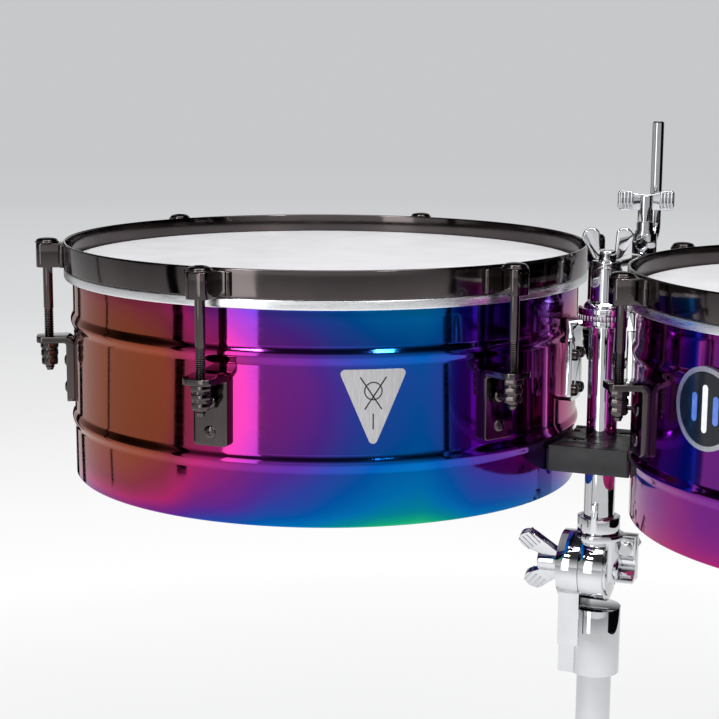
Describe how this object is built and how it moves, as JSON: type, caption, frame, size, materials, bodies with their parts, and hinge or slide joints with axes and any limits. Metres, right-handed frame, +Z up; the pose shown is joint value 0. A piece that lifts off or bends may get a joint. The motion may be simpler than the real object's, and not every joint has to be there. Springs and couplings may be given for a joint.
{
  "type": "timbales",
  "caption": "Pair of single-headed metal-shelled drums on a tilting, height-adjustable folding tripod stand, with tunable heads and an upright accessory rod.",
  "frame": {"origin": "on the floor, midway between the outer edges of the two hoops, in the plane of the drum centres", "axes": "+Z up, +X along the line of drum centres towards the smaller drum, -Y towards the side of the badges"},
  "size_m": [0.8022, 0.5842, 0.9395],
  "materials": {
    "rainbow_steel": "polished steel with a rainbow interference coating, violet, magenta, copper and blue",
    "drumhead_film": "white coated polyester film",
    "aluminium_ring": "satin aluminium ring",
    "black_nickel": "polished black nickel plate on steel",
    "chrome": "polished chrome plate on steel and die castings",
    "brushed_badge": null,
    "enamel_badge": null,
    "black_nylon": "moulded black nylon",
    "black_rubber": "moulded black rubber"
  },
  "bodies": {
    "base": {"base_tube": "chrome", "height_clamp": "chrome", "clamp_bush": "black_nylon", "lower_collar": "chrome", "brace_pins": "chrome"},
    "riser": {"riser_tube": "chrome", "height_lock": "chrome", "tilter_lower": "chrome", "tilter_bolt": "chrome"},
    "playing_head": {"left_shell": "rainbow_steel", "left_drumhead": "drumhead_film", "left_flesh_hoop": "aluminium_ring", "left_hoop": "black_nickel", "left_lug_brackets": "black_nickel", "left_mount_bracket": "chrome", "left_backing_plate": "black_nickel", "left_badge": "brushed_badge", "right_shell": "rainbow_steel", "right_drumhead": "drumhead_film", "right_flesh_hoop": "aluminium_ring", "right_hoop": "black_nickel", "right_lug_brackets": "black_nickel", "right_mount_bracket": "chrome", "right_backing_plate": "black_nickel", "right_badge": "enamel_badge", "tension_rods": "black_nickel", "rod_washers": "black_nickel", "lug_nuts": "black_nickel", "lug_screws": "black_nickel", "bracket_screws": "black_nickel", "backing_nuts": "chrome", "post": "chrome", "toothed_ring": "chrome", "stack_collar": "chrome", "spacer_block": "black_nylon", "spacer_screws": "black_nickel", "accessory_arm": "chrome", "rod_clamp": "chrome", "tilter_upper": "chrome", "memory_lock": "chrome", "post_clamp_screw": "chrome"},
    "top_wing_nut": {"top_wing_nut": "chrome"},
    "accessory_rod": {"accessory_rod": "chrome"},
    "rod_wing_bolt": {"rod_wing_bolt": "chrome"},
    "tilter_wing_nut": {"tilter_wing_nut": "chrome"},
    "height_wing_bolt": {"height_wing_bolt": "chrome"},
    "leg_collar": {"leg_collar": "chrome", "leg_pins": "chrome"},
    "collar_wing_bolt": {"collar_wing_bolt": "chrome"},
    "leg_1": {"leg_1": "chrome", "foot_1": "black_rubber"},
    "brace_1": {"brace_1": "chrome"},
    "leg_2": {"leg_2": "chrome", "foot_2": "black_rubber"},
    "brace_2": {"brace_2": "chrome"},
    "leg_3": {"leg_3": "chrome", "foot_3": "black_rubber"},
    "brace_3": {"brace_3": "chrome"}
  },
  "joints": [
    {"name": "height", "type": "slide", "parent": "base", "child": "riser", "axis": [0, 0, 1], "range_m": [0, 0.15]},
    {"name": "tilt", "type": "hinge", "parent": "riser", "child": "playing_head", "pos_m": [0.01285, 0, 0.619], "axis": [1, 0, 0], "range_deg": [-25, 25]},
    {"name": "collar_slide", "type": "slide", "parent": "base", "child": "leg_collar", "axis": [0, 0, 1], "range_m": [0, 0.15]},
    {"name": "leg_1_fold", "type": "hinge", "parent": "leg_collar", "child": "leg_1", "pos_m": [-0.01415, 0, 0.262], "axis": [0, -1, 0], "range_deg": [0, 33.38]},
    {"name": "brace_1_fold", "type": "hinge", "parent": "base", "child": "brace_1", "pos_m": [-0.01415, 0, 0.082], "axis": [0, 1, 0], "range_deg": [0, 47.88]},
    {"name": "leg_2_fold", "type": "hinge", "parent": "leg_collar", "child": "leg_2", "pos_m": [0.02635, -0.02338, 0.262], "axis": [0.866, 0.5, 0], "range_deg": [0, 33.38]},
    {"name": "brace_2_fold", "type": "hinge", "parent": "base", "child": "brace_2", "pos_m": [0.02635, -0.02338, 0.082], "axis": [-0.866, -0.5, 0], "range_deg": [0, 47.88]},
    {"name": "leg_3_fold", "type": "hinge", "parent": "leg_collar", "child": "leg_3", "pos_m": [0.02635, 0.02338, 0.262], "axis": [-0.866, 0.5, 0], "range_deg": [0, 33.38]},
    {"name": "brace_3_fold", "type": "hinge", "parent": "base", "child": "brace_3", "pos_m": [0.02635, 0.02338, 0.082], "axis": [0.866, -0.5, 0], "range_deg": [0, 47.88]},
    {"name": "tilter_wing_turn", "type": "hinge", "parent": "riser", "child": "tilter_wing_nut", "pos_m": [-0.01405, 0, 0.619], "axis": [1, 0, 0], "continuous": true},
    {"name": "top_wing_turn", "type": "hinge", "parent": "playing_head", "child": "top_wing_nut", "pos_m": [0.01285, 0, 0.844], "axis": [0, 0, 1], "continuous": true},
    {"name": "rod_wing_turn", "type": "hinge", "parent": "playing_head", "child": "rod_wing_bolt", "pos_m": [0.02665, 0.0563, 0.87], "axis": [0, 0, 1], "continuous": true},
    {"name": "rod_swivel", "type": "hinge", "parent": "playing_head", "child": "accessory_rod", "pos_m": [0.02665, 0.06, 0.852], "axis": [0, 1, 0], "range_deg": [-45, 45]},
    {"name": "height_wing_turn", "type": "hinge", "parent": "base", "child": "height_wing_bolt", "pos_m": [0.03885, -0.0112, 0.458], "axis": [0, 1, 0], "continuous": true},
    {"name": "collar_wing_turn", "type": "hinge", "parent": "leg_collar", "child": "collar_wing_bolt", "pos_m": [0.04285, 0, 0.262], "axis": [1, 0, 0], "continuous": true}
  ],
  "couplings": [
    {"joint": "leg_1_fold", "follows": "collar_slide", "rad_per_m": 3.8812},
    {"joint": "brace_1_fold", "follows": "collar_slide", "rad_per_m": 5.5687},
    {"joint": "leg_2_fold", "follows": "collar_slide", "rad_per_m": 3.8812},
    {"joint": "brace_2_fold", "follows": "collar_slide", "rad_per_m": 5.5687},
    {"joint": "leg_3_fold", "follows": "collar_slide", "rad_per_m": 3.8812},
    {"joint": "brace_3_fold", "follows": "collar_slide", "rad_per_m": 5.5687}
  ]
}
